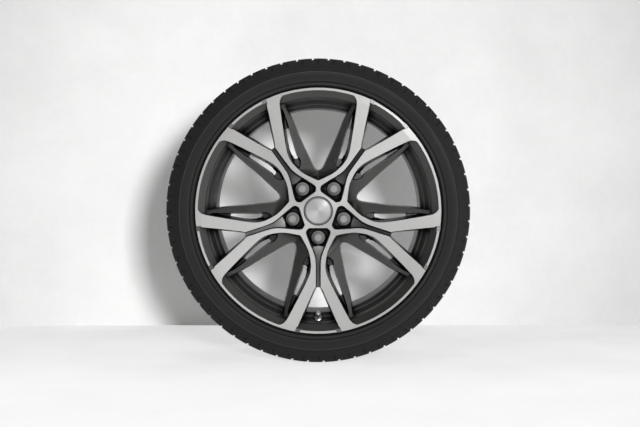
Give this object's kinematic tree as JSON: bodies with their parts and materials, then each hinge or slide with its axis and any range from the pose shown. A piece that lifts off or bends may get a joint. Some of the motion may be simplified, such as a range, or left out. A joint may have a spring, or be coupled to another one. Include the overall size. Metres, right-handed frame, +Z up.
{
  "type": "car wheel with tyre",
  "caption": "Alloy car wheel with forked two-tone spokes, a fitted low-profile tyre, a centre cap, covered wheel bolts and an inflation valve.",
  "frame": {"origin": "on the wheel's axis, midway between the two flanges of the rim", "axes": "+Y along the axis towards the vehicle, so the face looks to -Y; +Z up, with the valve at the bottom and the tyre standing on its tread"},
  "size_m": [0.6468, 0.2342, 0.6452],
  "materials": {
    "rim_alloy": "satin",
    "tyre_rubber": "matt",
    "cap_plastic": "satin",
    "cap_silver": "satin",
    "spring_steel": "bright",
    "bolt_steel": "satin",
    "cover_plastic": "satin",
    "valve_metal": "satin",
    "valve_rubber": "matt",
    "valve_brass": "bright"
  },
  "bodies": {
    "wheel": {"alloy_rim": "rim_alloy", "tyre": "tyre_rubber", "centre_cap": "cap_plastic", "cap_face": "cap_silver", "clip_ring": "spring_steel", "wheel_bolt_1": "bolt_steel", "wheel_bolt_2": "bolt_steel", "wheel_bolt_3": "bolt_steel", "wheel_bolt_4": "bolt_steel", "wheel_bolt_5": "bolt_steel", "bolt_cover_1": "cover_plastic", "bolt_cover_2": "cover_plastic", "bolt_cover_3": "cover_plastic", "bolt_cover_4": "cover_plastic", "bolt_cover_5": "cover_plastic", "valve_stem": "valve_metal", "valve_grommet": "valve_rubber", "valve_washer": "valve_metal", "valve_nut": "valve_metal", "valve_core": "valve_brass", "valve_spring": "spring_steel", "valve_cap": "valve_metal"},
    "pin": {"valve_pin": "valve_brass"}
  },
  "joints": [
    {"name": "valve_pin_press", "type": "slide", "parent": "wheel", "child": "pin", "axis": [0, 0.866, -0.5], "range_m": [0, 0.0012], "stiffness_N_per_m": 1500, "springref_m": -0.001, "deforming": ["valve_spring"]}
  ]
}
